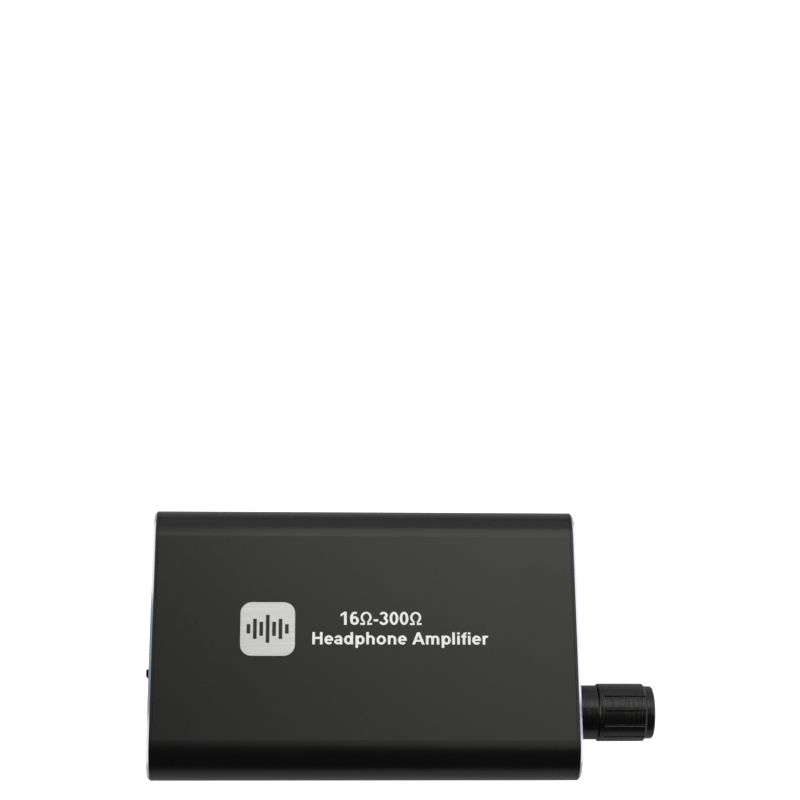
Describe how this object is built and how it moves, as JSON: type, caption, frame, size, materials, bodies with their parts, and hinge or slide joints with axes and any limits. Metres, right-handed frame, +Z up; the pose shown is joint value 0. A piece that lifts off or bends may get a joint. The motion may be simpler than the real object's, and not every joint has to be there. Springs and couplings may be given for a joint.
{
  "type": "headphone amplifier",
  "caption": "Portable headphone amplifier: flat-oval aluminium case, bevelled end plates, plug jacks, charging socket, turning volume knob and sliding gain switch.",
  "frame": {"origin": "centre of the case's flat underside", "axes": "+X towards the volume knob, +Y to the back of the case, +Z up"},
  "size_m": [0.1141, 0.0616, 0.0153],
  "materials": {
    "case_anodised": "fine matt black anodising",
    "plate_anodised": "matt black anodising with a bright cut edge",
    "knob_anodised": "turned and black anodised",
    "badge_metal": "brushed along its length",
    "screw_steel": "black zinc plated",
    "board_laminate": "green solder mask",
    "chip_black": "moulded, printed top",
    "capacitor_can": "drawn can",
    "coil_ferrite": "ferrite grey",
    "small_ceramic": "fired ceramic with tinned ends",
    "jack_plastic": "moulded black",
    "contact_metal": "tinned and gold plated",
    "lamp_red": "clear tinted lens",
    "lamp_blue": "clear tinted lens",
    "control_metal": "pressed, nickel plated",
    "control_phenolic": "phenolic board",
    "control_plastic": "moulded",
    "slider_plastic": "moulded black",
    "socket_steel": "nickel plated",
    "socket_plastic": "moulded black",
    "battery_foil": "silver laminate foil",
    "foam_tape": "white foam",
    "header_nylon": "natural nylon",
    "lead_red": "soft insulation",
    "lead_black": "soft insulation"
  },
  "bodies": {
    "case": {"case_tube": "case_anodised", "front_plate": "plate_anodised", "rear_plate": "plate_anodised", "badge_plate": "badge_metal", "plate_screws": "screw_steel", "main_board": "board_laminate", "amplifier_chips": "chip_black", "charger_chip": "chip_black", "storage_capacitors": "capacitor_can", "supply_coil": "coil_ferrite", "small_parts": "small_ceramic", "output_jack": "jack_plastic", "input_jack": "jack_plastic", "output_contacts": "contact_metal", "input_contacts": "contact_metal", "charging_contacts": "contact_metal", "volume_terminals": "contact_metal", "gain_switch_terminals": "contact_metal", "lamp_legs": "contact_metal", "charge_lamp": "lamp_red", "power_lamp": "lamp_blue", "volume_can": "control_metal", "gain_switch_frame": "control_metal", "volume_track": "control_phenolic", "gain_switch_base": "control_phenolic", "power_section": "control_plastic", "charging_shell": "socket_steel", "charging_tongue": "socket_plastic", "battery_cell": "battery_foil", "battery_tape": "foam_tape", "battery_header": "header_nylon", "battery_plug": "header_nylon", "red_lead": "lead_red", "black_lead": "lead_black"},
    "knob": {"volume_knob": "knob_anodised", "knob_set_screw": "screw_steel", "volume_shaft": "control_metal", "volume_rotor": "control_plastic"},
    "slider": {"gain_slider": "slider_plastic", "gain_clip": "contact_metal"}
  },
  "joints": [
    {"name": "volume_turn", "type": "hinge", "parent": "case", "child": "knob", "pos_m": [0.04835, -0.0156, 0.0076], "axis": [-1, 0, 0], "range_deg": [0, 300]},
    {"name": "gain_slide", "type": "slide", "parent": "case", "child": "slider", "axis": [0, 1, 0], "range_m": [0, 0.002]}
  ]
}
